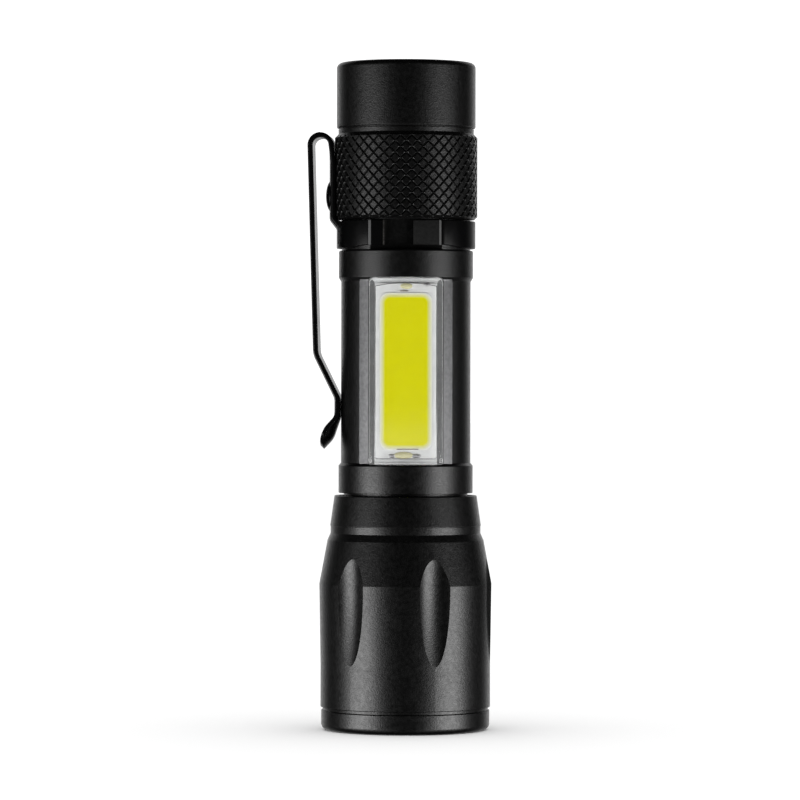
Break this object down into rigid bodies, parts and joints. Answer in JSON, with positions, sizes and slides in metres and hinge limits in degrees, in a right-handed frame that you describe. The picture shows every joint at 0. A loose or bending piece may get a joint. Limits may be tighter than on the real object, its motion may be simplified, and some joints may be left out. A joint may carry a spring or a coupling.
{
  "type": "tactical flashlight",
  "caption": "Black aluminium pocket torch with sliding zoom head, side light panel, spring pocket clip, knurled screw-on tail cap and tail push button.",
  "frame": {"origin": "centre of the bezel's front face, on the torch's axis", "axes": "+Z along the axis from the bezel to the tail cap; -Y through the side light panel; the pocket clip is on the -X side"},
  "size_m": [0.0257, 0.024, 0.093],
  "materials": {
    "anodised_aluminium": "black anodised, fine bead-blasted satin",
    "black_steel": "gloss black",
    "lens_glass": "clear polished acrylic",
    "black_rubber": "matt",
    "spring_steel": "bright drawn wire",
    "brass": "turned",
    "white_board": "white solder mask",
    "white_ceramic": "ceramic",
    "led_silicone": "clear silicone over phosphor",
    "white_plastic": "moulded",
    "wire_insulation": "silicone-covered wire",
    "green_board": "green solder mask",
    "chip_black": "moulded epoxy",
    "nickel_steel": "nickel plated",
    "phosphor": "yellow silicone phosphor",
    "solder": "solder",
    "clear_plastic": "clear moulded cover",
    "cell_wrap": "shrink wrap",
    "brown_board": "phenolic board"
  },
  "bodies": {
    "tube": {"body_tube": "anodised_aluminium", "clip_band": "black_steel", "zoom_oring": "black_rubber", "zoom_stop_ring": "spring_steel", "led_pill": "brass", "led_star_board": "white_board", "led_emitter": "white_ceramic", "led_dome": "led_silicone", "led_insulator": "white_plastic", "led_wires": "wire_insulation", "driver_board": "green_board", "driver_chips": "chip_black", "charge_port_shell": "nickel_steel", "charge_port_tongue": "chip_black", "contact_spring": "brass", "cob_board": "white_board", "cob_phosphor": "phosphor", "cob_solder": "solder", "cob_cover": "clear_plastic", "cob_wires": "wire_insulation", "cell_can": "nickel_steel", "cell_sleeve": "cell_wrap", "cell_cap": "nickel_steel", "cell_insulator": "white_plastic", "tailcap_oring": "black_rubber"},
    "zoom_head": {"head_shell": "anodised_aluminium", "bezel_ring": "anodised_aluminium", "lens": "lens_glass", "lens_gasket": "black_rubber"},
    "clip_spring": {"clip_arm": "black_steel"},
    "cap_carriage": {"tail_spring": "spring_steel"},
    "tail_cap": {"tailcap": "anodised_aluminium", "switch_retaining_ring": "brass", "switch_board": "brown_board", "switch_housing": "chip_black", "switch_spring": "spring_steel"},
    "tail_button": {"switch_boot": "black_rubber", "switch_plunger": "white_plastic"}
  },
  "joints": [
    {"name": "head_zoom", "type": "slide", "parent": "tube", "child": "zoom_head", "axis": [0, 0, -1], "range_m": [0, 0.01]},
    {"name": "clip_flex", "type": "hinge", "parent": "tube", "child": "clip_spring", "pos_m": [-0.01184, 0.00062, 0.08328], "axis": [0.0523, 0.9986, 0], "range_deg": [0, 6], "stiffness_Nm_per_rad": 1.2},
    {"name": "cap_lift", "type": "slide", "parent": "tube", "child": "cap_carriage", "axis": [0, 0, 1], "range_m": [0, 0.00721]},
    {"name": "cap_turn", "type": "hinge", "parent": "cap_carriage", "child": "tail_cap", "pos_m": [0, 0, 0], "axis": [0, 0, 1], "range_deg": [0, 3240]},
    {"name": "button_press", "type": "slide", "parent": "tail_cap", "child": "tail_button", "axis": [0, 0, -1], "range_m": [0, 0.0012], "stiffness_N_per_m": 2500, "deforming": ["switch_spring"]}
  ],
  "couplings": [
    {"joint": "cap_lift", "follows": "cap_turn", "m_per_rad": 0.00012732}
  ]
}
